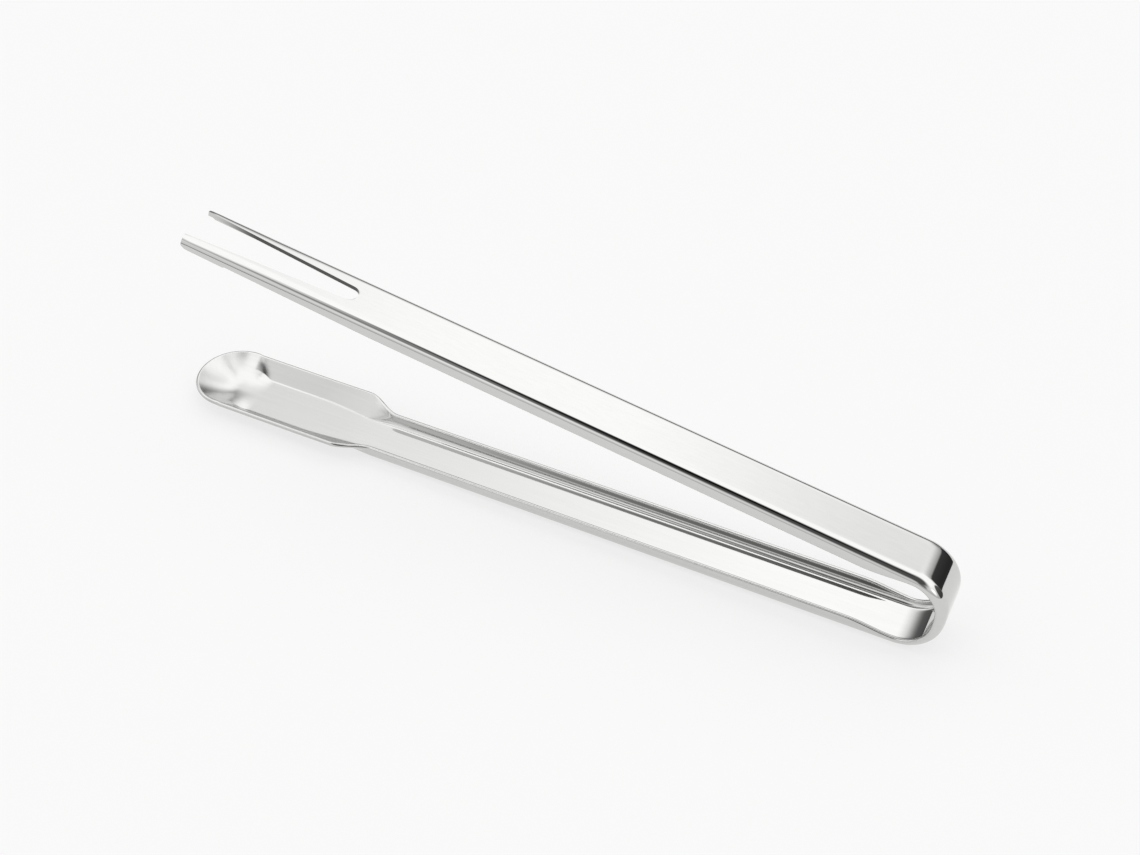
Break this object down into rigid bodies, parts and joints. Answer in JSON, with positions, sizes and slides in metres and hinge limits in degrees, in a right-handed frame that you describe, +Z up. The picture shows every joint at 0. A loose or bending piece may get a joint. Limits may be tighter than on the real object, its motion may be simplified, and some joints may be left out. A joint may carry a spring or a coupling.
{
  "type": "serving tongs",
  "caption": "One-piece sheet-metal serving tongs: a forked upper arm and a long spoon-ended lower arm with folded edges, joined by a springy U-shaped bow.",
  "frame": {"origin": "on the ground under the middle of the tongs, which lie on the spoon arm's flat underside with the fork arm above", "axes": "+X runs along the spoon arm from its tip towards the bow, +Y across the strip, +Z up from the spoon arm to the fork arm"},
  "size_m": [0.213, 0.023, 0.0565],
  "materials": {
    "spoon_arm_steel": "polished stainless steel, not plated",
    "spring_bow_steel": "polished stainless steel, not plated",
    "fork_arm_steel": "polished stainless steel, not plated"
  },
  "bodies": {
    "spoon_arm": {"spoon_arm": "spoon_arm_steel"},
    "spring_bow": {"spring_bow": "spring_bow_steel"},
    "fork_arm": {"fork_arm": "fork_arm_steel"}
  },
  "joints": [
    {"name": "bow_flex_spoon_side", "type": "hinge", "parent": "spoon_arm", "child": "spring_bow", "pos_m": [0.10102, 0, 0.00286], "axis": [0, -1, 0], "range_deg": [-1.5, 6.65], "stiffness_Nm_per_rad": 18.5},
    {"name": "bow_flex_fork_side", "type": "hinge", "parent": "spring_bow", "child": "fork_arm", "pos_m": [0.1025, 0, 0.02168], "axis": [0, -1, 0], "range_deg": [-1.5, 6.65], "stiffness_Nm_per_rad": 18.5}
  ]
}
